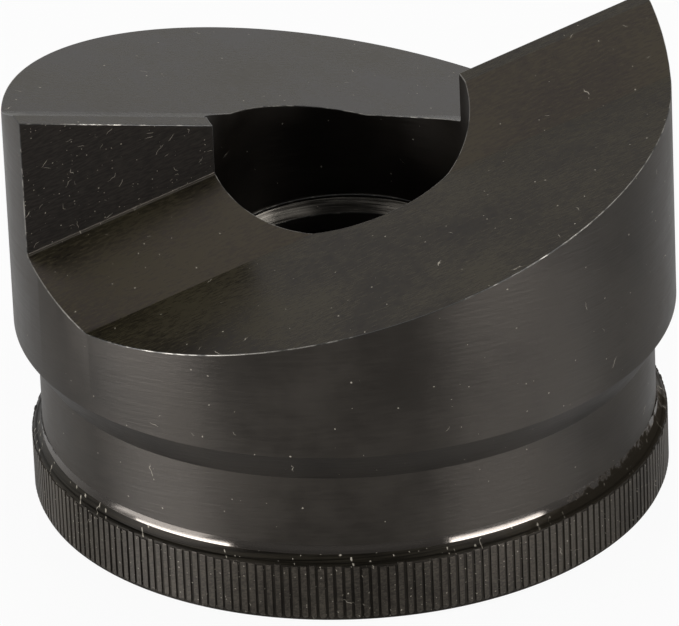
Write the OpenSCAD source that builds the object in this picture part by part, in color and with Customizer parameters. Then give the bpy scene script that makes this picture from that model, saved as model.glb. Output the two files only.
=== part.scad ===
// Knockout punch for sheet metal, turned and milled from one bar of tool steel.
// A draw stud through the bore pulls the punch into its die, and the two wings of the
// crown shear the hole from their tips inwards.
// Millimetres. The axis is Z, the flange stands on z = 0, and the two tips lie along X.

/* [Body] */
// Diameter of the cutting body, which is the diameter of the hole it makes
body_d = 49.6; // [47:0.1:60]
// Height of the body, from the shoulder to the ramp floor on the axis
body_h = 11.8; // [9:0.1:20]

/* [Neck] */
// Diameter of the relieved neck below the body
neck_d = 46.2; // [36:0.1:47]
// Height of the neck, from the flange to the shoulder
neck_h = 6.8; // [3:0.1:15]
// Height of the shoulder, the cone from the neck out to the body
shoulder_h = 2.6; // [0.5:0.1:6]

/* [Flange] */
// Diameter of the flange over its knurl
flange_d = 47.9; // [47.4:0.1:60]
// Height of the flange
flange_h = 4.7; // [3:0.1:10]
// Bevel at the top and bottom edges of the flange
flange_bevel = 0.15; // [0.05:0.05:0.3]
// Width of the flat ledge left on top of the flange, outside the fillet
ledge_flat_w = 0.1; // [0.05:0.05:0.3]
// Radius of the fillet from the neck down to the ledge on the flange
neck_fillet_r = 1.8; // [0.2:0.1:2.5]
// Spacing of the knurl's grooves round the flange
knurl_pitch = 0.65; // [0.5:0.05:1.5]
// Depth of the knurl's grooves
knurl_depth = 0.14; // [0.05:0.01:0.35]
// Width of the flat crest left between two grooves
knurl_crest = 0.34; // [0.05:0.01:0.36]
// Width of the flat at the bottom of each groove
knurl_root = 0.08; // [0.02:0.01:0.1]

/* [Crown] */
// Slope of each ramp along the line of the tips
ramp_angle = 13; // [5:0.5:20]
// Distance from the line of the tips to the crease where a ramp turns up into its bevel
crease_offset = 8.2; // [4:0.1:14]
// Slope of the bevel across the ramp
bevel_angle = 21; // [5:0.5:35]
// Width of the flat land along the edge of each tip
land_w = 1.5; // [0.3:0.1:3]
// Radius of the fillet at the foot of each step face
step_fillet_r = 0.2; // [0.1:0.05:1.5]

/* [Bore] */
// Diameter of the clearance bore for the draw stud
bore_d = 19.6; // [17.6:0.1:30]
// Minor diameter of the thread for the draw stud
thread_minor_d = 17.4; // [10:0.1:19.4]
// Height of the threaded length, from the bottom face to the seat cone
thread_l = 16.9; // [8:0.1:20]
// Slope of the seat cone between the thread and the clearance bore
seat_angle = 45; // [20:1:60]
// Depth of the countersink at the lower end of the thread
countersink_h = 1; // [0.3:0.1:3]

/* [Hidden] */
$fn = 128;
steel_black = [0.13, 0.125, 0.12];

body_r = body_d / 2;
neck_r = neck_d / 2;
flange_r = flange_d / 2;
bore_r = bore_d / 2;
thread_minor_r = thread_minor_d / 2;

// Heights of the turned shoulders above the bottom face
neck_top_z = flange_h + neck_h;
body_bottom_z = neck_top_z + shoulder_h;
floor_z = body_bottom_z + body_h;

// Heights of the crown, square to the tilted ramp floor
step_foot_h = crease_offset * tan(bevel_angle);
land_h = (crease_offset - land_w) * tan(bevel_angle);

// The turned blank reaches past the tips, and the cutters reach past the blank
blank_h = floor_z + body_r * tan(ramp_angle) + step_foot_h / cos(ramp_angle);
cut_reach = body_d + blank_h;
overcut = 1;

// The teeth stand on a core at the depth of the grooves, and their flanks meet inside it
knurl_core_r = flange_r - knurl_depth;
knurl_count = floor(PI * flange_d / knurl_pitch);
knurl_crest_turn = 360 * knurl_crest / (PI * flange_d);
knurl_flank_w = (knurl_pitch - knurl_crest - knurl_root) / 2;
knurl_flank_foot_r = knurl_core_r - knurl_depth * knurl_root / (2 * knurl_flank_w);

// Edge of the ledge on top of the flange, and how far in and up the fillet reaches
ledge_r = knurl_core_r - flange_bevel;
fillet_w = min(ledge_r - ledge_flat_w - neck_r, neck_fillet_r);
fillet_h = sqrt(pow(neck_fillet_r, 2) - pow(neck_fillet_r - fillet_w, 2));

seat_h = (bore_r - thread_minor_r) * tan(seat_angle);

function polar(r, turn) = [r * cos(turn), r * sin(turn)];

// Section of the concave fillet, tangent to the neck and ending at the flat of the ledge
module ledge_fillet() {
    translate([neck_r, flange_h]) difference() {
        square([fillet_w, fillet_h]);
        translate([neck_fillet_r, fillet_h]) circle(neck_fillet_r);
    }
}

// Carries a profile drawn in Y and Z along X
module along_x(from, to) {
    translate([from, 0, 0]) rotate([90, 0, 90]) linear_extrude(height = to - from) children();
}

// Half section of the blank that comes off the lathe, before knurling
module blank_profile() {
    polygon([
        [0, 0],
        [ledge_r, 0],
        [knurl_core_r, flange_bevel],
        [knurl_core_r, flange_h - flange_bevel],
        [ledge_r, flange_h],
        [neck_r, flange_h],
        [neck_r, neck_top_z],
        [body_r, body_bottom_z],
        [body_r, blank_h],
        [0, blank_h],
    ]);
    ledge_fillet();
}

// Straight rolled teeth, as one ring that reaches into the flange's core
module knurl_teeth() {
    tooth_turn = 360 / knurl_count;
    outline = [
        for (i = [0:knurl_count - 1]) each [
            polar(flange_r, i * tooth_turn - knurl_crest_turn / 2),
            polar(flange_r, i * tooth_turn + knurl_crest_turn / 2),
            polar(knurl_flank_foot_r, (i + 0.5) * tooth_turn),
        ]
    ];
    translate([0, 0, flange_bevel])
        linear_extrude(height = flange_h - 2 * flange_bevel)
            difference() {
                polygon(outline);
                circle(thread_minor_r + countersink_h + overcut);
            }
}

// Cross-section of what the mill takes away over one ramp: flat floor, bevel and step face,
// with the cutter's corner radius at the foot of the step
module ramp_cut_profile() {
    foot_turn = 90 + bevel_angle;
    tangent_l = step_fillet_r / tan(foot_turn / 2);
    foot = [0, step_foot_h];
    centre = [-step_fillet_r, step_foot_h + tangent_l];
    difference() {
        polygon([
            [-cut_reach, 0],
            [-crease_offset, 0],
            foot,
            [0, cut_reach],
            [-cut_reach, cut_reach],
        ]);
        difference() {
            polygon([
                foot,
                foot + [0, tangent_l],
                centre,
                foot - tangent_l * [cos(bevel_angle), sin(bevel_angle)],
            ]);
            translate(centre) circle(step_fillet_r);
        }
    }
}

// Everything above the front wing: one tilted ramp across the whole width, and the land
// that blunts the edge on the wing's high side
module wing_cut() {
    translate([0, 0, floor_z]) rotate([0, -ramp_angle, 0]) {
        along_x(-cut_reach, cut_reach) ramp_cut_profile();
        along_x(0, cut_reach)
            translate([-crease_offset, land_h]) square([crease_offset + overcut, cut_reach]);
    }
}

// Threaded hole with its countersink, seat cone and the clearance bore above it
module stud_hole() {
    rotate_extrude() polygon([
        [0, -overcut],
        [thread_minor_r + countersink_h + overcut, -overcut],
        [thread_minor_r, countersink_h],
        [thread_minor_r, thread_l],
        [bore_r, thread_l + seat_h],
        [bore_r, blank_h + overcut],
        [0, blank_h + overcut],
    ]);
}

// The whole punch, one piece of steel
module punch() {
    color(steel_black) difference() {
        union() {
            rotate_extrude() blank_profile();
            knurl_teeth();
        }
        wing_cut();
        rotate([0, 0, 180]) wing_cut();
        stud_hole();
    }
}

punch();
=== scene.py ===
"""Blackened knockout punch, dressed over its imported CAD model.

The blank is revolved and then milled with Booleans, as the real one is turned and milled.
Geometry Nodes make what repeats or follows a path: the straight knurl and the stud thread.
Metres, in the CAD model's frame: Z is the axis and the two tips lie along X.
"""

import logging
import math
from dataclasses import dataclass, field
from enum import Enum
from typing import Any

import bmesh
import bpy
from mathutils import Matrix, Vector


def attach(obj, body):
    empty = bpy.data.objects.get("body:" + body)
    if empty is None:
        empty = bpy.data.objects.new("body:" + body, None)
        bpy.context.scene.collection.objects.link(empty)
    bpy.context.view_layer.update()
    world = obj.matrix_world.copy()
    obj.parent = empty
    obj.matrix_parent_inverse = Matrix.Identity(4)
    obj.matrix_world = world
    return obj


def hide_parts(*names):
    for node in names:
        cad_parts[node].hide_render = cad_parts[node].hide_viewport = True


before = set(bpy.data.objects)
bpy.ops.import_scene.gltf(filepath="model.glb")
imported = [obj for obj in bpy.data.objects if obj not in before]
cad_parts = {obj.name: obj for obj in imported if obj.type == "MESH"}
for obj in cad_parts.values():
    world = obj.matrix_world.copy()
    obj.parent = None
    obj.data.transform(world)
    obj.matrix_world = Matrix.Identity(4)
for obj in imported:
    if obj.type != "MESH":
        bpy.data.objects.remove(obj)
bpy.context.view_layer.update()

Colour = tuple[float, float, float]
Point = tuple[float, float]
Socket = bpy.types.NodeSocket
Material = bpy.types.Material
Piece = bpy.types.Object
Finishes = dict[str, Material]

MM = 0.001
RAMP_DEG = 13.0
QUARTER_TURN = 0.25
WHITE = (1.0, 1.0, 1.0, 1.0)
# Average of the noise, the range of most of its values, and the range of nearly all
NOISE_MEAN = 0.5
NOISE_CORE = (0.36, 0.64)
NOISE_SPAN = (0.3, 0.7)
# Share of the radius that is added to the height where dust lies on a turned face
RING_SPREAD = 0.6
LOG = logging.getLogger("punch")


@dataclass
class Graph:
    """A node tree with short calls that add nodes and join them.

    Attributes:
        tree: The shader or geometry tree that the calls work on.
    """

    tree: bpy.types.NodeTree

    def add(self, kind: str, inputs: dict[Any, Any] | None = None, **settings: Any) -> bpy.types.Node:
        """Adds one node.

        Args:
            kind: Blender's name of the node type.
            inputs: Socket name or number, to a constant or to another node's output.
            **settings: Properties of the node itself, which are set before its sockets.

        Returns:
            The new node.
        """
        node = self.tree.nodes.new(kind)
        for name, value in settings.items():
            setattr(node, name, value)
        for key, value in (inputs or {}).items():
            if isinstance(value, Socket):
                self.tree.links.new(value, node.inputs[key])
            else:
                node.inputs[key].default_value = value
        return node

    def out(self, kind: str, inputs: dict[Any, Any] | None = None, **settings: Any) -> Socket:
        """Adds one node and returns its first output."""
        return self.add(kind, inputs, **settings).outputs[0]

    def math(self, operation: str, *values: Any) -> Socket:
        """Returns the result of one Math node on constants or outputs."""
        return self.out("ShaderNodeMath", dict(enumerate(values)), operation=operation)

    def vector_math(self, operation: str, *values: Any) -> Socket:
        """Returns the vector that one Vector Math node makes of constants or outputs."""
        return self.out("ShaderNodeVectorMath", dict(enumerate(values)), operation=operation)

    def along(self, vector: Socket, way: Colour) -> Socket:
        """Returns how far a vector reaches along a direction."""
        node = self.add("ShaderNodeVectorMath", {0: vector, 1: way}, operation="DOT_PRODUCT")
        return node.outputs["Value"]

    def vector(self, x: Any = 0.0, y: Any = 0.0, z: Any = 0.0) -> Socket:
        """Returns a vector made of three constants or outputs."""
        return self.out("ShaderNodeCombineXYZ", {0: x, 1: y, 2: z})

    def scaled(self, vector: Socket, scale: Colour, turn: Colour = (0.0, 0.0, 0.0)) -> Socket:
        """Returns a vector after a Mapping node, turned in radians and then scaled."""
        turned = self.out("ShaderNodeMapping", {"Vector": vector, "Rotation": turn})
        return self.out("ShaderNodeMapping", {"Vector": turned, "Scale": scale})

    def blend(self, factor: Any, first: Any, second: Any) -> Socket:
        """Returns a colour between two others."""
        ends = [c if isinstance(c, Socket) else (*c, 1.0) for c in (first, second)]
        return self.add("ShaderNodeMix", {0: factor, 6: ends[0], 7: ends[1]}, data_type="RGBA").outputs[2]

    def remap(self, value: Any, low: Any, high: Any, to_low: Any = 0.0, to_high: Any = 1.0) -> Socket:
        """Returns a value carried smoothly from one range to another and held at its ends."""
        ends = {0: value, 1: low, 2: high, 3: to_low, 4: to_high}
        return self.out("ShaderNodeMapRange", ends, interpolation_type="SMOOTHSTEP")

    def noise(self, vector: Socket, scale: float, detail: float = 2.0, rough: float = 0.5) -> Socket:
        """Returns fractal noise, about 0.5 on the average."""
        inputs = {"Vector": vector, "Scale": scale, "Detail": detail, "Roughness": rough}
        return self.add("ShaderNodeTexNoise", inputs).outputs["Fac"]


def blank_shader(owner: Material | bpy.types.World) -> Graph:
    """Turns on the nodes of a material or a world, and clears them.

    Args:
        owner: The material or the world.

    Returns:
        Its empty tree.
    """
    owner.use_nodes = True
    owner.node_tree.nodes.clear()
    return Graph(owner.node_tree)


class Grain(Enum):
    """Which way the tool marks run on a surface."""

    TURNED = "round the axis"
    MILLED = "along the line of the tips"
    SIDE_MILLED = "along the ramp that climbs below"


@dataclass(frozen=True)
class Dust:
    """Pale specks and short lint that lie on the oiled steel.

    Attributes:
        colour: Colour of the specks and fibres.
        cells: Speck cells in a metre.
        share: Share of the cells that hold no speck.
        reach: Radius of the largest speck, in cells.
        strength: How much of the dust's own colour shows.
        fibre_cells: Fibre cells in a metre, along a fibre and across it.
        fibre_share: Share of the cells that hold no fibre.
        fibre_reach: Half length of the longest fibre, in cells.
        fibre_turns: Directions that the fibres lie in, in radians.
        curl: How far the fibres bend.
        bends: Bends in a metre.
        ragged: How far the outlines of the specks wander.
        tears: Waves of those outlines in a metre.
        smallest: Size of the smallest speck or fibre, as a share of the largest.
        core: Share of a speck's radius that is solid, before it fades out.
    """

    colour: Colour = (0.62, 0.57, 0.48)
    cells: float = 1500.0
    share: float = 0.965
    reach: float = 0.1
    strength: float = 0.65
    fibre_cells: Point = (640.0, 13000.0)
    fibre_share: float = 0.9996
    fibre_reach: float = 0.42
    fibre_turns: tuple[float, ...] = (0.35, 1.3, 2.5)
    curl: float = 0.55 * MM
    bends: float = 1900.0
    ragged: float = 0.16 * MM
    tears: float = 5200.0
    smallest: float = 0.3
    core: float = 0.55

    @staticmethod
    def _shifted(graph: Graph, place: Socket, scale: float, amount: float) -> Socket:
        """Returns coordinates shifted by noise, with its waves in a metre and the width of the shift."""
        drift = graph.add("ShaderNodeTexNoise", {"Vector": place, "Scale": scale, "Detail": 1.0})
        return graph.vector_math("MULTIPLY_ADD", drift.outputs["Color"], (amount,) * 3, place)

    def _spots(self, graph: Graph, place: Socket, share: float, reach: float) -> Socket:
        """Returns a mask of spots, one in each cell that the share leaves.

        Args:
            graph: The shader tree.
            place: Coordinates in which a cell is one unit wide.
            share: Share of the cells left empty.
            reach: Radius of the largest spot, in cells.

        Returns:
            A mask that is 1 inside a spot.
        """
        cells = graph.add("ShaderNodeTexVoronoi", {"Vector": place, "Scale": 1.0}, voronoi_dimensions="2D")
        chance = graph.out("ShaderNodeSeparateColor", {0: cells.outputs["Color"]})
        size = graph.remap(chance, share, 1.0, self.smallest * reach, reach)
        core = graph.math("MULTIPLY", size, self.core)
        spot = graph.remap(cells.outputs["Distance"], core, size, 1.0, 0.0)
        return graph.math("MULTIPLY", spot, graph.math("GREATER_THAN", chance, share))

    def mask(self, graph: Graph, place: Socket) -> Socket:
        """Returns the mask of all specks and fibres on one material.

        Args:
            graph: The shader tree.
            place: Coordinates in metres that lie in the surface.

        Returns:
            A mask that is 0 on clean steel.
        """
        torn = self._shifted(graph, place, self.tears, self.ragged)
        total = self._spots(graph, graph.scaled(torn, (self.cells,) * 3), self.share, self.reach)
        along, across = self.fibre_cells
        bent = self._shifted(graph, place, self.bends, self.curl)
        for turn in self.fibre_turns:
            lying = graph.scaled(bent, (along, across, 1.0), (0.0, 0.0, turn))
            strands = self._spots(graph, lying, self.fibre_share, self.fibre_reach)
            total = graph.math("MAXIMUM", total, strands)
        return graph.math("MULTIPLY", total, self.strength)


@dataclass(frozen=True)
class DirtAndShade:
    """Dark dirt on one side of a corner, partly painted shade that darkens that side and takes away its
    sheen.

    Attributes:
        colour: Colour of the dirt and painted shade, which is rough and has no sheen but its own.
        side: Direction from the axis to the middle of the darkened side.
        start: Cosine of the angle from there at which the dark patch starts.
        full: Cosine of the angle at which it covers the steel.
        patch: Patches in a metre along its ragged border.
        ragged: How far that border wanders, in cosine.
        foot_z: Height of the corner that it lies in.
        climb: How fast it thins out above the corner, in cosine for a metre.
        roughness: Roughness of the dark patch.
        dust_left: Share of the dust that still shows on it.
    """

    colour: Colour = (0.03, 0.0255, 0.019)
    side: Point = (0.66, -0.75)
    start: float = 0.9
    full: float = 0.955
    patch: float = 1400.0
    ragged: float = 0.25
    foot_z: float = 4.7 * MM
    climb: float = 60.0
    roughness: float = 0.8
    dust_left: float = 0.35

    def mask(self, graph: Graph, place: Socket) -> Socket:
        """Returns the mask of the dirt and painted shade.

        Args:
            graph: The shader tree.
            place: Object coordinates in metres.

        Returns:
            A mask that is 1 where the dark patch covers the steel.
        """
        out = graph.vector_math("NORMALIZE", graph.vector_math("MULTIPLY", place, (1.0, 1.0, 0.0)))
        wander = graph.math("SUBTRACT", graph.noise(place, self.patch, detail=3.0), NOISE_MEAN)
        wander = graph.math("MULTIPLY", wander, self.ragged)
        near = graph.math("ADD", graph.along(out, (*self.side, 0.0)), wander)
        z = graph.add("ShaderNodeSeparateXYZ", {0: place}).outputs[2]
        thinned = graph.math("MULTIPLY", graph.math("SUBTRACT", z, self.foot_z), self.climb)
        return graph.remap(graph.math("SUBTRACT", near, thinned), self.start, self.full)


@dataclass(frozen=True)
class OxideFinish:
    """Satin black oxide over machined steel.

    Attributes:
        name: Name of the material.
        grain: Which way the tool marks run.
        dark: Colour of sound oxide.
        thin: Colour where the oxide is thin and the steel warms it.
        metal: How much of the steel shines through.
        roughness: Roughness on the average.
        spread: How far the roughness varies over the surface.
        anisotropy: How much the tool marks draw highlights out.
        marks: Tool marks in a metre.
        stretch: How many times longer than wide the marks are.
        mark_depth: Depth of the tool marks.
        ior: Refractive index of the oil that the oxide holds.
        tint: Colour that the oxide gives to its sheen.
        clouds: Clouds of thin oxide in a metre.
        mottle: Share of the colour's change that comes from clouds, where the marks make the rest.
        dust: What lies on the surface.
        dirt_and_shade: Dirt and painted shade that cover a part of it, if any.
    """

    name: str
    grain: Grain = Grain.TURNED
    dark: Colour = (0.0165, 0.0146, 0.0124)
    thin: Colour = (0.032, 0.0284, 0.0242)
    metal: float = 0.0
    roughness: float = 0.42
    spread: float = 0.16
    anisotropy: float = 0.65
    marks: float = 3600.0
    stretch: float = 8.0
    mark_depth: float = 0.022 * MM
    ior: float = 1.5
    tint: Colour = (1.0, 0.9, 0.81)
    clouds: float = 110.0
    mottle: float = 0.8
    dust: Dust = field(default_factory=Dust)
    dirt_and_shade: DirtAndShade | None = None

    def _tool_marks(self, graph: Graph, place: Socket) -> tuple[Socket, Socket, Socket]:
        """Returns the tool marks' pattern, their direction and the plane that they lie in.

        Args:
            graph: The shader tree.
            place: Object coordinates in metres.

        Returns:
            Fine noise drawn out along the marks, the vector that the marks follow, and coordinates
            in metres that lie in the surface, along the marks and across them.
        """
        drift = self.marks / self.stretch
        x, y, z = graph.add("ShaderNodeSeparateXYZ", {0: place}).outputs
        if self.grain is Grain.TURNED:
            back = graph.math("MULTIPLY", y, -1.0)
            square = graph.math("ADD", graph.math("MULTIPLY", x, x), graph.math("MULTIPLY", y, y))
            radius = graph.math("SQRT", square)
            along = graph.math("MULTIPLY", graph.math("ARCTAN2", x, back), radius)
            flat = graph.vector(along, graph.math("ADD", z, graph.math("MULTIPLY", radius, RING_SPREAD)))
            rings = graph.scaled(graph.vector(radius, z), (self.marks,) * 3)
            slow = graph.scaled(place, (drift,) * 3)
            marks = graph.vector_math("ADD", rings, slow)
            return graph.noise(marks, 1.0, detail=3.0, rough=0.6), graph.vector(back, x), flat
        flat = graph.vector(x, y)
        if self.grain is Grain.SIDE_MILLED:
            climb = graph.math("MULTIPLY", graph.math("ABSOLUTE", x), math.tan(math.radians(RAMP_DEG)))
            flat = graph.vector(x, graph.math("ADD", z, climb))
        marks = graph.scaled(flat, (drift, self.marks, 1.0))
        return graph.noise(marks, 1.0, detail=3.0, rough=0.6), graph.vector(x=1.0), flat

    def build(self) -> Material:
        """Builds the material.

        Returns:
            The material.
        """
        material = bpy.data.materials.new(self.name)
        graph = blank_shader(material)
        place = graph.add("ShaderNodeTexCoord").outputs["Object"]
        marks, way, flat = self._tool_marks(graph, place)
        dust = self.dust.mask(graph, flat)
        clouds = graph.noise(place, self.clouds, detail=4.0, rough=0.6)
        clouds = graph.math("MULTIPLY", clouds, self.mottle)
        thinness = graph.math("ADD", clouds, graph.math("MULTIPLY", marks, 1.0 - self.mottle))
        oxide = graph.blend(graph.remap(thinness, *NOISE_CORE), self.dark, self.thin)
        half = self.spread / 2
        rough = graph.remap(thinness, *NOISE_SPAN, self.roughness - half, self.roughness + half)
        metal: float | Socket = self.metal
        # A dark patch of dirt and painted shade on one side; as dark metal it loses the oxide's sheen.
        if self.dirt_and_shade:
            metal = self.dirt_and_shade.mask(graph, place)
            oxide = graph.blend(metal, oxide, self.dirt_and_shade.colour)
            rough = graph.math("MAXIMUM", rough, graph.math("MULTIPLY", metal, self.dirt_and_shade.roughness))
            left = graph.remap(metal, 0.0, 1.0, 1.0, self.dirt_and_shade.dust_left)
            dust = graph.math("MULTIPLY", dust, left)
        bump = graph.out("ShaderNodeBump", {"Strength": 1.0, "Distance": self.mark_depth, "Height": marks})
        shader = graph.out(
            "ShaderNodeBsdfPrincipled",
            {
                "Base Color": graph.blend(dust, oxide, self.dust.colour),
                "Roughness": graph.math("MAXIMUM", rough, dust),
                "Metallic": metal,
                "IOR": self.ior,
                "Specular Tint": (*self.tint, 1.0),
                "Anisotropic": self.anisotropy,
                "Anisotropic Rotation": QUARTER_TURN,
                "Tangent": way,
                "Normal": bump,
            },
        )
        graph.add("ShaderNodeOutputMaterial", {0: shader})
        return material


@dataclass(frozen=True)
class WornEdge:
    """Edges where handling has rubbed the oxide down to the steel.

    Attributes:
        name: Name of the material.
        steel: Colour of the bare steel.
        oxide: Colour where the oxide still holds.
        roughness: Roughness of the rubbed steel.
        patch: Worn stretches in a metre.
        nick: Nicks in a metre, inside those stretches.
        start: Noise at which the oxide starts to give way.
        full: Noise at which the steel is bare.
        oxide_roughness: Roughness where the oxide holds.
    """

    name: str
    steel: Colour = (0.3, 0.285, 0.26)
    oxide: Colour = (0.02, 0.019, 0.017)
    roughness: float = 0.36
    patch: float = 90.0
    nick: float = 1300.0
    start: float = 0.45
    full: float = 0.58
    oxide_roughness: float = 0.3

    def build(self) -> Material:
        """Builds the material.

        Returns:
            The material.
        """
        material = bpy.data.materials.new(self.name)
        graph = blank_shader(material)
        place = graph.add("ShaderNodeTexCoord").outputs["Object"]
        stretches = graph.noise(place, self.patch, detail=1.0)
        wear = graph.math("DIVIDE", graph.math("ADD", stretches, graph.noise(place, self.nick)), 2.0)
        bare = graph.remap(wear, self.start, self.full)
        shader = graph.out(
            "ShaderNodeBsdfPrincipled",
            {
                "Base Color": graph.blend(bare, self.oxide, self.steel),
                "Metallic": bare,
                "Roughness": graph.remap(bare, 0.0, 1.0, self.oxide_roughness, self.roughness),
            },
        )
        graph.add("ShaderNodeOutputMaterial", {0: shader})
        return material


class Recipe(Graph):
    """A Geometry Nodes tree with named inputs, which makes one mesh.

    Attributes:
        tree: The geometry tree.
        sizes: Its named inputs with their values.
        given: The outputs of its input node, which hand those values on.
    """

    def __init__(self, name: str, sizes: dict[str, float | int]) -> None:
        """Starts an empty tree.

        Args:
            name: Name of the tree.
            sizes: Named inputs with their values, which are whole numbers or lengths.
        """
        super().__init__(bpy.data.node_groups.new(name, "GeometryNodeTree"))
        self.sizes = sizes
        interface = self.tree.interface
        interface.new_socket("Geometry", in_out="OUTPUT", socket_type="NodeSocketGeometry")
        for key, value in sizes.items():
            kind = "NodeSocketInt" if isinstance(value, int) else "NodeSocketFloat"
            interface.new_socket(key, in_out="INPUT", socket_type=kind)
        interface.new_socket("Finish", in_out="INPUT", socket_type="NodeSocketMaterial")
        self.given = self.add("NodeGroupInput").outputs

    def trapezoid(self, foot: Socket) -> Socket:
        """Returns a section that narrows over the recipe's depth from a foot to the crest."""
        sides = {"Bottom Width": foot, "Top Width": self.given["Crest"], "Height": self.given["Depth"]}
        return self.out("GeometryNodeCurvePrimitiveQuadrilateral", {**sides, "Offset": 0.0}, mode="TRAPEZOID")

    def sweep(self, path: Socket, section: Socket, size: Any = 1.0) -> Socket:
        """Returns the closed shell that a section of that size leaves along a path."""
        upright = self.out("GeometryNodeSetCurveNormal", {"Curve": path}, mode="Z_UP")
        return self.out("GeometryNodeCurveToMesh", {0: upright, 1: section, "Scale": size, "Fill Caps": True})

    def moved(self, shape: Socket, y: Any = 0.0, z: Any = 0.0) -> Socket:
        """Returns geometry after a shift by constants or outputs."""
        return self.out("GeometryNodeSetPosition", {0: shape, "Offset": self.vector(y=y, z=z)})

    def make(self, shape: Socket, finish: Material) -> Piece:
        """Ends the tree and turns its result into a plain mesh.

        Args:
            shape: The geometry to hand out.
            finish: The material that it gets.

        Returns:
            A new object at the origin, with no modifier left on it.
        """
        real = self.out("GeometryNodeRealizeInstances", {0: shape})
        dressed = self.out("GeometryNodeSetMaterial", {"Geometry": real, "Material": self.given["Finish"]})
        self.add("NodeGroupOutput", {0: dressed})
        values = {**self.sizes, "Finish": finish}
        piece = new_object(self.tree.name, bpy.data.meshes.new(self.tree.name))
        modifier = piece.modifiers.new("recipe", "NODES")
        modifier.node_group = self.tree
        for item in self.tree.interface.items_tree:
            if item.in_out == "INPUT":
                modifier[item.identifier] = values[item.name]
        settle(piece)
        return piece


def new_object(name: str, mesh: bpy.types.Mesh) -> Piece:
    """Links a new object to the scene.

    Args:
        name: Name of the object.
        mesh: Its mesh.

    Returns:
        The object, at the origin.
    """
    piece = bpy.data.objects.new(name, mesh)
    bpy.context.scene.collection.objects.link(piece)
    return piece


def settle(piece: Piece) -> None:
    """Replaces an object's mesh by what its modifiers make of it, and takes them off.

    Args:
        piece: The object.
    """
    graph = bpy.context.evaluated_depsgraph_get()
    mesh = bpy.data.meshes.new_from_object(piece.evaluated_get(graph))
    old = piece.data
    mesh.name = piece.name
    piece.modifiers.clear()
    piece.data = mesh
    bpy.data.meshes.remove(old)


def carve(piece: Piece, cutter: Piece) -> None:
    """Takes a cutter's volume out of a piece, and removes the cutter.

    Args:
        piece: The piece, whose new faces keep the cutter's material.
        cutter: The cutter.
    """
    cut = piece.modifiers.new("carve", "BOOLEAN")
    cut.operation = "DIFFERENCE"
    cut.solver = "EXACT"
    cut.material_mode = "TRANSFER"
    cut.object = cutter
    settle(piece)
    scrap = cutter.data
    bpy.data.objects.remove(cutter)
    bpy.data.meshes.remove(scrap)


def arc(centre: Point, radius: float, start: float, end: float, steps: int) -> list[Point]:
    """Returns the points of an arc in equal chords, with both ends, between angles in degrees."""
    turns = [math.radians(start + (end - start) * i / steps) for i in range(steps + 1)]
    return [(centre[0] + radius * math.cos(t), centre[1] + radius * math.sin(t)) for t in turns]


def loft(name: str, rings: list[list[Vector]], closed: bool, finishes: list[Material]) -> Piece:
    """Skins a row of rings with the same number of points.

    Args:
        name: Name of the new object.
        rings: The rings, each a closed row of points.
        closed: Whether the last ring joins the first; if not, both get a cap.
        finishes: The material of the strip before each point of a ring, or one for all.

    Returns:
        A new object at the origin, a closed shell with its faces outwards.
    """
    kinds = list(dict.fromkeys(finishes))
    slots = [kinds.index(finish) for finish in finishes]
    shell = bmesh.new()
    rows = [[shell.verts.new(point) for point in ring] for ring in rings]
    pairs = list(zip(rows, rows[1:]))
    if closed:
        pairs.append((rows[-1], rows[0]))
    else:
        shell.faces.new(rows[0])
        shell.faces.new(rows[-1])
    for here, there in pairs:
        for i in range(len(here)):
            face = shell.faces.new((here[i - 1], here[i], there[i], there[i - 1]))
            face.material_index = slots[i % len(slots)]
    bmesh.ops.recalc_face_normals(shell, faces=shell.faces[:])
    mesh = bpy.data.meshes.new(name)
    shell.to_mesh(mesh)
    shell.free()
    for kind in kinds:
        mesh.materials.append(kind)
    return new_object(name, mesh)


@dataclass
class StudThread:
    """The right-hand thread that takes the draw stud, as the groove that a tap cuts.

    Attributes:
        pitch: Rise in one turn.
        major_r: Radius at the bottom of the groove.
        inner_r: Radius inside the hole where the cutter's section starts.
        crest_w: Width of the groove's bottom.
        flank_deg: Angle of each flank from square to the axis.
        bottom_z: Height where the groove starts, below the hole.
        rise: Height of the whole groove, from below the hole to its run-out under the seat.
        steps: Chords in one turn.
    """

    pitch: float = 1.5875 * MM
    major_r: float = 9.53 * MM
    inner_r: float = 8.4 * MM
    crest_w: float = 0.2 * MM
    flank_deg: float = 30.0
    bottom_z: float = -1.2 * MM
    rise: float = 17.4 * MM
    steps: int = 72

    def cutter(self, finish: Material) -> Piece:
        """Makes the helical cutter.

        Args:
            finish: The material that the groove gets.

        Returns:
            The cutter, a closed shell at the origin.
        """
        depth = self.major_r - self.inner_r
        recipe = Recipe(
            "stud_thread_groove",
            {
                "Steps": self.steps,
                "Turns": self.rise / self.pitch,
                "Radius": self.inner_r + depth / 2,
                "Rise": self.rise,
                "Depth": depth,
                "Crest": self.crest_w,
                "Mouth": self.crest_w + 2 * depth * math.tan(math.radians(self.flank_deg)),
                "Bottom": self.bottom_z,
            },
        )
        given = recipe.given
        turns = {"Resolution": given["Steps"], "Rotations": given["Turns"], "Height": given["Rise"]}
        radii = {"Start Radius": given["Radius"], "End Radius": given["Radius"]}
        path = recipe.out("GeometryNodeCurveSpiral", {**turns, **radii, "Reverse": True})
        outwards = {0: recipe.trapezoid(given["Mouth"]), "Rotation": (0.0, 0.0, -math.tau / 4)}
        groove = recipe.sweep(path, recipe.out("GeometryNodeTransform", outwards))
        return recipe.make(recipe.moved(groove, z=given["Bottom"]), finish)


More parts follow.
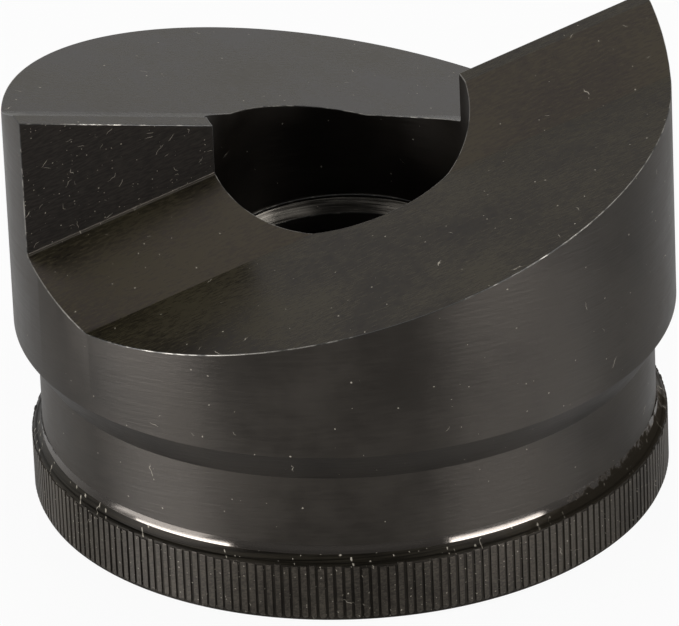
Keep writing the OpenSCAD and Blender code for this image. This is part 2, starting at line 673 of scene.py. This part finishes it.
@dataclass
class KnurledFlange:
    """Straight knurl that is rolled round the flange, to turn the punch by hand.

    Attributes:
        finishes: The materials by the name of the work that leaves them.
        count: Number of teeth.
        core_r: Radius at the bottom of the grooves.
        crest_r: Radius over the teeth.
        crest_w: Width of a tooth's crest.
        foot_w: Width of a tooth at the bottom of the grooves.
        sink: How far each tooth reaches into the flange.
        bottom_z: Lower end of the teeth.
        top_z: Upper end of the teeth.
        low_l: Length of the bevel at the lower end.
        low_size: Size of the section at the very bottom, as a share.
        high_l: Length of the bevel at the upper end.
        high_size: Size of the section at the very top, as a share.
        uneven: How far the rolled teeth differ in height, as a share.
        ragged: How far they differ in width, as a share.
        shorter: How far they differ in length, as a share.
        seed: Seed of those differences.
        crest_deg: Largest turn of a face from facing straight out that still counts as a crest.
    """

    finishes: Finishes
    count: int = 231
    core_r: float = 23.84 * MM
    crest_r: float = 23.95 * MM
    crest_w: float = 0.47 * MM
    foot_w: float = 0.61 * MM
    sink: float = 0.05 * MM
    bottom_z: float = 0.15 * MM
    top_z: float = 4.66 * MM
    low_l: float = 0.28 * MM
    low_size: float = 0.12
    high_l: float = 0.06 * MM
    high_size: float = 0.85
    uneven: float = 0.08
    ragged: float = 0.24
    shorter: float = 0.06
    seed: int = 4
    crest_deg: float = 36.0

    def _tooth(self, recipe: Recipe) -> Socket:
        """Makes one tooth, upright at the middle of its foot, with its crest towards +Y.

        Args:
            recipe: The knurl's recipe, which names the tooth's sizes.

        Returns:
            The tooth, a closed shell.
        """
        given = recipe.given
        index = recipe.out("GeometryNodeInputIndex")
        # These turn from 0 to 1 at the second, the third and the fourth point of the path
        first, middle, last = (recipe.math("GREATER_THAN", index, i + 0.5) for i in range(3))
        bevels = recipe.math("ADD", given["Low bevel"], given["High bevel"])
        plain = recipe.math("SUBTRACT", given["Length"], bevels)
        height = 0.0
        for passed, length in ((first, given["Low bevel"]), (middle, plain), (last, given["High bevel"])):
            height = recipe.math("ADD", height, recipe.math("MULTIPLY", passed, length))
        line = recipe.out("GeometryNodeMeshLine", {"Count": 4})
        line = recipe.out("GeometryNodeSetPosition", {0: line, "Position": recipe.vector(z=height)})
        path = recipe.out("GeometryNodeMeshToCurve", {0: line})
        low = recipe.math("SUBTRACT", 1.0, first)
        size = recipe.math("ADD", first, recipe.math("MULTIPLY", low, given["Low size"]))
        loss = recipe.math("MULTIPLY", last, recipe.math("SUBTRACT", 1.0, given["High size"]))
        size = recipe.math("SUBTRACT", size, loss)
        half = recipe.math("MULTIPLY", given["Depth"], 0.5)
        section = recipe.moved(recipe.trapezoid(given["Foot"]), y=half)
        return recipe.sweep(path, section, size)

    def _shade_flanks(self, piece: Piece) -> None:
        """Dresses the crests of the teeth, and gives their flanks the finish of the grooves, whose darker
        colour is painted shade.

        Args:
            piece: All the teeth.
        """
        mesh = piece.data
        mesh.materials.clear()
        for kind in ("knurl", "groove"):
            mesh.materials.append(self.finishes[kind])
        mesh.shade_flat()
        limit = math.cos(math.radians(self.crest_deg))
        for face in mesh.polygons:
            out = Vector((*face.center.xy, 0.0)).normalized()
            # Faces turned away from straight out take the groove finish: painted shade between the teeth.
            face.material_index = int(out.dot(face.normal) < limit)

    def build(self) -> Piece:
        """Rolls the knurl.

        Returns:
            All the teeth as one plain mesh at the origin.
        """
        depth = self.crest_r - self.core_r
        slope = (self.foot_w - self.crest_w) / depth
        recipe = Recipe(
            "knurl_teeth",
            {
                "Count": self.count,
                "Radius": self.core_r - self.sink,
                "Depth": depth + self.sink,
                "Crest": self.crest_w,
                "Foot": self.foot_w + slope * self.sink,
                "Length": self.top_z - self.bottom_z,
                "Bottom": self.bottom_z,
                "Low bevel": self.low_l,
                "Low size": self.low_size,
                "High bevel": self.high_l,
                "High size": self.high_size,
                "Lowest": 1.0 - self.uneven,
                "Narrowest": 1.0 - self.ragged,
                "Shortest": 1.0 - self.shorter,
                "Seed": self.seed,
            },
        )
        given = recipe.given
        ring = recipe.out("GeometryNodeMeshCircle", {"Vertices": given["Count"], "Radius": given["Radius"]})
        ring = recipe.moved(ring, z=given["Bottom"])
        index = recipe.out("GeometryNodeInputIndex")
        turn = recipe.math("MULTIPLY", index, recipe.math("DIVIDE", math.tau, given["Count"]))
        turn = recipe.math("SUBTRACT", turn, math.tau / 4)
        scale = recipe.vector(given["Narrowest"], given["Lowest"], given["Shortest"])
        spread = {"Min": scale, "Max": (1.0, 1.0, 1.0), "Seed": given["Seed"]}
        rolled = recipe.out("FunctionNodeRandomValue", spread, data_type="FLOAT_VECTOR")
        stand = {"Points": ring, "Rotation": recipe.vector(z=turn), "Scale": rolled}
        teeth = recipe.out("GeometryNodeInstanceOnPoints", {"Instance": self._tooth(recipe), **stand})
        piece = recipe.make(teeth, self.finishes["knurl"])
        self._shade_flanks(piece)
        return piece


@dataclass
class PunchBody:
    """The one-piece punch: flange, neck, shoulder, body, shearing crown and stud hole.

    Attributes:
        finishes: The materials by the name of the work that leaves them.
        body_r: Radius of the cutting body.
        body_bottom_z: Height of the body's lower edge.
        neck_r: Radius of the relieved neck.
        neck_top_z: Height of the neck's upper end.
        flange_h: Height of the flange.
        flange_r: Radius of the flange at the bottom of its knurl.
        flange_bevel: Bevel at the flange's edges.
        ledge_flat_w: Flat left on top of the flange, outside the fillet.
        fillet_r: Radius of the fillet from the neck to the flange.
        fillet_steps: Chords of that fillet.
        scored_points: How many of its points, from the flange up, make turning lines.
        score: Depth of those lines.
        floor_z: Height of the ramp floors on the axis.
        blank_z: Height of the blank before it is milled.
        ramp_deg: Slope of each ramp along the line of the tips.
        crease_y: Distance from the line of the tips to the crease.
        bevel_deg: Slope of the bevel across the ramp.
        land_w: Width of the flat along each tip's edge.
        foot_r: Radius at the foot of each step face.
        foot_steps: Chords of that radius.
        bore_r: Radius of the clearance bore.
        thread_r: Minor radius of the thread.
        seat_z: Height of the seat cone's lower edge.
        lip_r: Radius inside the lip between the bore and the seat cone.
        lip_z: Height of the lip.
        lip_drop: Fall of the lip towards the axis.
        countersink: Depth of the countersink under the thread.
        steps: Chords round the axis.
        phase: Turn of the first chord, as a share of one chord.
        edge_w: Width of the broken edges.
        edge_deg: Smallest turn between two faces that counts as an edge.
        edge_steps: Chords across a broken edge.
        sharp_deg: Smallest turn between two faces that is shaded as a corner.
        weld: Distance at which points left by the mill are one.
        thread: The thread in the hole.
    """

    finishes: Finishes
    body_r: float = 24.8 * MM
    body_bottom_z: float = 14.1 * MM
    neck_r: float = 23.1 * MM
    neck_top_z: float = 11.5 * MM
    flange_h: float = 4.7 * MM
    flange_r: float = 23.84 * MM
    flange_bevel: float = 0.15 * MM
    ledge_flat_w: float = 0.15 * MM
    fillet_r: float = 1.8 * MM
    fillet_steps: int = 24
    scored_points: int = 13
    score: float = 0.016 * MM
    floor_z: float = 25.9 * MM
    blank_z: float = 36.0 * MM
    ramp_deg: float = RAMP_DEG
    crease_y: float = 8.2 * MM
    bevel_deg: float = 21.0
    land_w: float = 1.5 * MM
    foot_r: float = 0.2 * MM
    foot_steps: int = 6
    bore_r: float = 9.8 * MM
    thread_r: float = 8.7 * MM
    seat_z: float = 16.9 * MM
    lip_r: float = 9.58 * MM
    lip_z: float = 18.05 * MM
    lip_drop: float = 0.06 * MM
    countersink: float = 1.0 * MM
    steps: int = 480
    phase: float = 0.5
    edge_w: float = 0.06 * MM
    edge_deg: float = 28.0
    edge_steps: int = 2
    sharp_deg: float = 20.0
    weld: float = 0.0005 * MM
    thread: StudThread = field(default_factory=StudThread)

    @property
    def _reach(self) -> float:
        """Length of a pass of the mill each way, well past the blank."""
        return 3.0 * self.body_r

    def _profile(self) -> list[tuple[float, float, str]]:
        """Returns the half section of the bored blank.

        Returns:
            Radius, height and the finish of the surface that leads to each point.
        """
        ledge_r = self.flange_r - self.flange_bevel
        inset = self.fillet_r - (ledge_r - self.ledge_flat_w - self.neck_r)
        end = 180.0 + math.degrees(math.acos(inset / self.fillet_r))
        fillet_h = self.fillet_r * math.sin(math.radians(end - 180.0))
        centre = (self.neck_r + self.fillet_r, self.flange_h + fillet_h)
        smooth = arc(centre, self.fillet_r, end, 180.0, self.fillet_steps)
        scored = arc(centre, self.fillet_r + self.score, end, 180.0, self.fillet_steps)
        low = [scored[i] if i % 2 else smooth[i] for i in range(self.scored_points)]
        step_z = self.seat_z + self.lip_r - self.thread_r
        return [
            (self.thread_r + self.countersink, 0.0, "bored"),
            (ledge_r, 0.0, "turned"),
            (self.flange_r, self.flange_bevel, "turned"),
            # The core between the teeth takes the groove finish, darkened as painted shade.
            (self.flange_r, self.flange_h - self.flange_bevel, "groove"),
            (ledge_r, self.flange_h, "grimy"),
            *[(r, z, "grimy") for r, z in low],
            *[(r, z, "burnished") for r, z in smooth[self.scored_points :]],
            (self.neck_r, self.neck_top_z, "turned"),
            # The downward-facing shoulder cone takes a darker copy of the turned finish: painted shade.
            (self.body_r, self.body_bottom_z, "shoulder"),
            (self.body_r, self.blank_z, "turned"),
            (self.bore_r, self.blank_z, "turned"),
            (self.bore_r, self.lip_z, "bored"),
            (self.lip_r, self.lip_z - self.lip_drop, "seat"),
            (self.lip_r, step_z, "bored"),
            (self.thread_r, self.seat_z, "seat"),
            (self.thread_r, self.countersink, "bored"),
        ]

    def _blank(self) -> Piece:
        """Turns and bores the blank.

        Returns:
            The blank, a closed shell at the origin.
        """
        profile = self._profile()
        turns = [math.tau * (i + self.phase) / self.steps for i in range(self.steps)]
        rings = [[Vector((r * math.cos(t), r * math.sin(t), z)) for r, z, _ in profile] for t in turns]
        return loft("punch_body", rings, True, [self.finishes[kind] for _, _, kind in profile])

    def _mill(self, section: list[Point], start: float, wing_deg: float, kinds: list[str]) -> Piece:
        """Makes one pass of the mill over a wing.

        Args:
            section: What the pass takes away, across the wing and square to its ramp.
            start: Where the pass starts along the ramp.
            wing_deg: Turn of the wing about the axis.
            kinds: The finish of the strip before each point of the section, or one for all.

        Returns:
            The cutter, a closed shell at the origin.
        """
        tilt = Matrix.Rotation(-math.radians(self.ramp_deg), 4, "Y")
        lift = Matrix.Translation((0.0, 0.0, self.floor_z))
        place = Matrix.Rotation(math.radians(wing_deg), 4, "Z") @ lift @ tilt
        rings = [[place @ Vector((x, y, z)) for y, z in section] for x in (start, self._reach)]
        return loft("mill_pass", rings, False, [self.finishes[kind] for kind in kinds])

    def _mill_wing(self, piece: Piece, wing_deg: float) -> None:
        """Mills one wing: its ramp with the bevel and step face, and then the land on its tip.

        Args:
            piece: The blank.
            wing_deg: Turn of the wing about the axis.
        """
        reach = self._reach
        slope = math.tan(math.radians(self.bevel_deg))
        foot_z = self.crease_y * slope
        tangent = self.foot_r / math.tan(math.radians(45.0 + self.bevel_deg / 2))
        centre = (-self.foot_r, foot_z + tangent)
        foot = arc(centre, self.foot_r, self.bevel_deg - 90.0, 0.0, self.foot_steps)
        ramp = [(-reach, 0.0), (-self.crease_y, 0.0), *foot, (0.0, reach), (-reach, reach)]
        land_z = (self.crease_y - self.land_w) * slope
        near, far = -self.crease_y, self.land_w / 2
        land = [(near, land_z), (far, land_z), (far, reach), (near, reach)]
        strips = ["milled"] * 3 + ["foot"] * (len(foot) - 1) + ["step"] * 2
        carve(piece, self._mill(ramp, -reach, wing_deg, strips))
        carve(piece, self._mill(land, 0.0, wing_deg, ["milled"]))

    def _break_edges(self, piece: Piece) -> None:
        """Takes the sharpness off the outer edges, and gives those of the crown the worn finish.

        Args:
            piece: The milled body.
        """
        piece.data.materials.append(self.finishes["edge"])
        worn_slot = len(piece.data.materials) - 1
        limit = math.radians(self.edge_deg)
        crown_z = self.body_bottom_z + self.edge_w
        shell = bmesh.new()
        shell.from_mesh(piece.data)
        bmesh.ops.remove_doubles(shell, verts=shell.verts[:], dist=self.weld)
        for slot in (worn_slot, -1):
            edges = [
                edge
                for edge in shell.edges
                if edge.is_manifold
                and edge.calc_face_angle_signed() > limit
                and (min(v.co.z for v in edge.verts) > crown_z) == (slot == worn_slot)
                and worn_slot not in {face.material_index for face in edge.link_faces}
            ]
            bmesh.ops.bevel(
                shell,
                geom=edges,
                offset=self.edge_w,
                offset_type="OFFSET",
                affect="EDGES",
                segments=self.edge_steps,
                profile=0.5,
                clamp_overlap=False,
                material=slot,
            )
        shell.to_mesh(piece.data)
        shell.free()

    def build(self) -> Piece:
        """Turns, mills, bores and threads the punch.

        Returns:
            The finished body at the origin.
        """
        piece = self._blank()
        for wing_deg in (0.0, 180.0):
            self._mill_wing(piece, wing_deg)
        self._break_edges(piece)
        carve(piece, self.thread.cutter(self.finishes["bored"]))
        piece.data.shade_smooth()
        piece.data.set_sharp_from_angle(angle=math.radians(self.sharp_deg))
        return piece


@dataclass(frozen=True)
class Softbox:
    """An area lamp that looks at the punch.

    Attributes:
        name: Name of the lamp.
        radiance: Brightness of its face, where 1 is white.
        width: Width of its face.
        height: Height of its face.
        distance: Distance from the punch.
        azimuth: Degrees round the punch, from the camera's side to the right.
        elevation: Degrees above the floor.
    """

    name: str
    radiance: float
    width: float
    height: float
    distance: float
    azimuth: float
    elevation: float

    def hang(self, aim: Vector, heading: float) -> None:
        """Hangs the lamp.

        Args:
            aim: The point that it looks at.
            heading: Azimuth of the camera in degrees.
        """
        lamp = bpy.data.lights.new(self.name, "AREA")
        lamp.shape = "RECTANGLE"
        lamp.size = self.width
        lamp.size_y = self.height
        lamp.energy = self.radiance * math.pi * self.width * self.height
        turn = math.radians(heading + self.azimuth)
        rise = math.radians(self.elevation)
        way = Vector((math.sin(turn) * math.cos(rise), -math.cos(turn) * math.cos(rise), math.sin(rise)))
        holder = bpy.data.objects.new(self.name, lamp)
        holder.location = aim + self.distance * way
        holder.rotation_euler = way.to_track_quat("Z", "Y").to_euler()
        holder.visible_camera = False
        bpy.context.scene.collection.objects.link(holder)


@dataclass
class Studio:
    """White table, softboxes and a long lens at the photograph's viewing angle.

    Attributes:
        heading: Azimuth of the camera in degrees.
        elevation: Elevation of the camera in degrees.
        distance: Distance of the camera from the aim.
        aim_z: Height on the axis that the camera's angles are measured from.
        pan: Turn of the camera to the right of the axis, in degrees.
        tilt: Turn of the camera below the horizon, in degrees.
        roll: Turn of the camera about its line of sight, in degrees.
        focal_px: Focal length in pixels of the photograph.
        image_w: Width of the photograph in pixels.
        floor_r: Radius of the table.
        floor_steps: Chords round the table.
        floor_gap: Gap between the table and the punch.
        floor_white: Colour of the table.
        floor_ior: Refractive index of the table's lacquer.
        floor_gloss: Roughness of that lacquer.
        floor_satin: Roughness of the lacquer as the punch's own sheen sees it.
        floor_mirror: Share of the table that the punch's own sheen sees as a mirror.
        camera_glow: Share of plain white that the camera sees in the table.
        front_light: Brightness of the room on the camera's side.
        back_light: Brightness of the room on the far side.
        back_turn: Turn of that bright side to the left, in degrees.
        back_depth: Cosines from that side between which the room grows from dim to pale.
        high_light: Share of that brightness left high up.
        high_rise: Sines of the elevation between which the brightness falls to that share.
        lamps: The softboxes.
    """

    heading: float = -20.704
    elevation: float = 27.573
    distance: float = 675.461 * MM
    aim_z: float = 15.0 * MM
    pan: float = -0.042
    tilt: float = 27.727
    roll: float = 2.455
    focal_px: float = 9033.136
    image_w: float = 679.0
    floor_r: float = 4.0
    floor_steps: int = 96
    floor_gap: float = 0.02 * MM
    floor_white: float = 0.74
    floor_ior: float = 1.49
    floor_gloss: float = 0.06
    floor_satin: float = 0.24
    floor_mirror: float = 0.75
    camera_glow: float = 0.94
    front_light: float = 0.14
    back_light: float = 0.84
    back_turn: float = 9.0
    back_depth: Point = (0.15, 0.95)
    high_light: float = 0.55
    high_rise: Point = (0.2, 0.7)
    # Radiance, width, height, distance, azimuth and elevation
    lamps: tuple[Softbox, ...] = (
        Softbox("overhead_softbox", 1.2, 0.9, 0.9, 0.9, 180.0, 76.0),
        Softbox("left_low_softbox", 14.0, 0.85, 0.26, 1.25, -63.0, 1.0),
        Softbox("left_mid_softbox", 4.5, 0.85, 0.42, 1.25, -74.0, 20.5),
        Softbox("left_fill", 1.0, 0.6, 0.55, 1.25, -66.0, 42.0),
        Softbox("right_low_softbox", 12.5, 0.8, 0.22, 1.25, 51.0, 5.0),
        Softbox("right_mid_softbox", 0.4, 0.6, 0.44, 1.25, 54.0, 26.0),
        Softbox("right_fill", 1.0, 0.6, 0.4, 1.25, 54.0, 45.0),
        Softbox("high_softbox", 5.0, 0.35, 0.35, 1.2, 92.0, 44.0),
    )

    def _camera(self) -> None:
        """Sets up the camera from the angles that were fitted to the photograph."""
        lens = bpy.data.cameras.new("camera")
        lens.sensor_fit = "HORIZONTAL"
        lens.lens = lens.sensor_width * self.focal_px / self.image_w
        camera = bpy.data.objects.new("camera", lens)
        heading = Matrix.Rotation(math.radians(self.heading), 4, "Z")
        rise = math.radians(self.elevation)
        back = self.distance * math.cos(rise)
        spot = heading @ Vector((0.0, -back, self.distance * math.sin(rise) + self.aim_z))
        pan = Matrix.Rotation(math.radians(-self.pan), 4, "Z")
        tilt = Matrix.Rotation(math.radians(90.0 - self.tilt), 4, "X")
        roll = Matrix.Rotation(math.radians(-self.roll), 4, "Z")
        camera.matrix_world = Matrix.Translation(spot) @ heading @ pan @ tilt @ roll
        bpy.context.scene.collection.objects.link(camera)
        bpy.context.scene.camera = camera

    def _floor(self) -> None:
        """Lays the lacquered white table, which keeps the punch's shadow."""
        disc = bmesh.new()
        bmesh.ops.create_circle(disc, cap_ends=True, segments=self.floor_steps, radius=self.floor_r)
        bmesh.ops.translate(disc, verts=disc.verts[:], vec=(0.0, 0.0, -self.floor_gap))
        mesh = bpy.data.meshes.new("table")
        disc.to_mesh(mesh)
        disc.free()
        material = bpy.data.materials.new("white_table")
        graph = blank_shader(material)
        coat = {"Roughness": self.floor_gloss, "IOR": self.floor_ior}
        coat["Base Color"] = (*(self.floor_white,) * 3, 1.0)
        lacquer = graph.out("ShaderNodeBsdfPrincipled", coat)
        mirror = graph.out("ShaderNodeBsdfGlossy", {"Roughness": self.floor_satin})
        white = graph.out("ShaderNodeEmission", {"Color": WHITE, "Strength": 1.0})
        path = graph.add("ShaderNodeLightPath").outputs
        sheen = graph.math("MAXIMUM", path["Is Glossy Ray"], path["Is Transmission Ray"])
        sheen = graph.math("MULTIPLY", sheen, self.floor_mirror)
        seen = graph.math("MULTIPLY", path["Is Camera Ray"], self.camera_glow)
        mixed = graph.out("ShaderNodeMixShader", {0: sheen, 1: lacquer, 2: mirror})
        mixed = graph.out("ShaderNodeMixShader", {0: seen, 1: mixed, 2: white})
        graph.add("ShaderNodeOutputMaterial", {0: mixed})
        mesh.materials.append(material)
        new_object("table", mesh)

    def _room(self) -> None:
        """Lights the room: dim on the camera's side, pale on the far side, white to the camera."""
        world = bpy.data.worlds.new("room")
        graph = blank_shader(world)
        turn = math.radians(self.heading + self.back_turn)
        away = (-math.sin(turn), math.cos(turn), 0.0)
        way = graph.add("ShaderNodeTexCoord").outputs["Generated"]
        depth = graph.along(way, away)
        light = graph.remap(depth, *self.back_depth, self.front_light, self.back_light)
        height = graph.add("ShaderNodeSeparateXYZ", {0: way}).outputs[2]
        fall = graph.remap(height, *self.high_rise, 1.0, self.high_light)
        light = graph.math("MULTIPLY", light, fall)
        camera = graph.add("ShaderNodeLightPath").outputs["Is Camera Ray"]
        level = graph.math("MAXIMUM", camera, light)
        room = graph.out("ShaderNodeBackground", {"Color": WHITE, "Strength": level})
        graph.add("ShaderNodeOutputWorld", {0: room})
        bpy.context.scene.world = world

    def build(self) -> None:
        """Builds the camera, the table, the room and the lamps."""
        self._camera()
        self._floor()
        self._room()
        for lamp in self.lamps:
            lamp.hang(Vector((0.0, 0.0, self.aim_z)), self.heading)
        bpy.context.scene.view_settings.view_transform = "Standard"


LINTY = Dust(
    cells=2600.0, share=0.8, reach=0.13, strength=0.5, fibre_cells=(900.0, 15000.0), fibre_share=0.993
)
ROLLED_IN = Dust(cells=2600.0, share=0.78, reach=0.15, strength=0.5, fibre_share=0.998)
FINISHES = (
    OxideFinish("turned"),
    # A darker copy of the turned finish for the cone under the body: painted shade.
    OxideFinish("shoulder", dark=(0.011, 0.0097, 0.0083), thin=(0.023, 0.0204, 0.0174), ior=1.4),
    OxideFinish(
        "milled",
        Grain.MILLED,
        dark=(0.0082, 0.0066, 0.0048),
        thin=(0.027, 0.0232, 0.0116),
        roughness=0.26,
        anisotropy=0.35,
        marks=5200.0,
        stretch=4.0,
        mark_depth=0.001 * MM,
        ior=1.36,
        tint=(1.0, 0.84, 0.76),
        mottle=0.5,
        dust=Dust(share=0.95, fibre_share=0.9993),
    ),
    OxideFinish(
        "step",
        Grain.SIDE_MILLED,
        dark=(0.0, 0.0, 0.0),
        thin=(0.015, 0.0126, 0.0108),
        marks=6500.0,
        stretch=5.0,
        mark_depth=0.003 * MM,
        ior=1.25,
        mottle=0.25,
        dust=LINTY,
    ),
    OxideFinish(
        "foot",
        Grain.MILLED,
        dark=(0.018, 0.0155, 0.011),
        thin=(0.036, 0.031, 0.022),
        roughness=0.24,
        anisotropy=0.0,
        mark_depth=0.001 * MM,
        ior=1.65,
        dust=LINTY,
    ),
    OxideFinish(
        "burnished",
        dark=(0.002, 0.0017, 0.0014),
        thin=(0.006, 0.0051, 0.0042),
        roughness=0.085,
        spread=0.05,
        anisotropy=0.3,
        marks=6000.0,
        stretch=60.0,
        mark_depth=0.003 * MM,
        ior=2.25,
        # Dirt and painted shade darken one side of the upper fillet.
        dirt_and_shade=DirtAndShade(),
    ),
    OxideFinish(
        "grimy",
        dark=(0.003, 0.0026, 0.0019),
        thin=(0.02, 0.0174, 0.0125),
        roughness=0.36,
        anisotropy=0.3,
        marks=5200.0,
        stretch=24.0,
        mark_depth=0.016 * MM,
        ior=1.25,
        mottle=0.4,
        dust=Dust(share=0.35, reach=0.16, fibre_share=0.992),
        # Dirt and painted shade darken one side of the lower fillet and the ledge.
        dirt_and_shade=DirtAndShade(start=0.8, full=0.92),
    ),
    OxideFinish("bored", dark=(0.0034, 0.0026, 0.0019), thin=(0.0076, 0.006, 0.0044), ior=1.42),
    OxideFinish(
        "seat",
        dark=(0.006, 0.005, 0.004),
        thin=(0.13, 0.12, 0.105),
        metal=1.0,
        roughness=0.22,
        anisotropy=0.3,
        marks=7000.0,
        stretch=30.0,
        mark_depth=0.012 * MM,
        mottle=0.35,
    ),
    # Grooves and flanks of the knurl: darker than the crests as painted shade, with real rolled-in dust.
    OxideFinish(
        "groove",
        dark=(0.011, 0.0096, 0.0077),
        thin=(0.03, 0.0261, 0.0209),
        roughness=0.55,
        ior=1.3,
        dust=ROLLED_IN,
    ),
    OxideFinish(
        "knurl",
        dark=(0.015, 0.013, 0.0104),
        thin=(0.062, 0.054, 0.0433),
        anisotropy=0.3,
        marks=6000.0,
        stretch=1.5,
        mark_depth=0.012 * MM,
        ior=1.48,
        mottle=0.4,
        dust=ROLLED_IN,
    ),
    WornEdge("edge"),
)


def report(piece: Piece) -> None:
    """Logs a finished piece's name and size."""
    LOG.info("%s: %d faces", piece.name, len(piece.data.polygons))


def main() -> None:
    """Builds the studio and the punch, and ties each piece to the CAD model."""
    logging.basicConfig(level=logging.INFO, format="%(name)s %(message)s")
    Studio().build()
    finishes = {finish.name: finish.build() for finish in FINISHES}
    body = PunchBody(finishes).build()
    knurl = KnurledFlange(finishes).build()
    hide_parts("punch")
    for piece in (body, knurl):
        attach(piece, "root")
        report(piece)


if __name__ == "__main__":
    main()
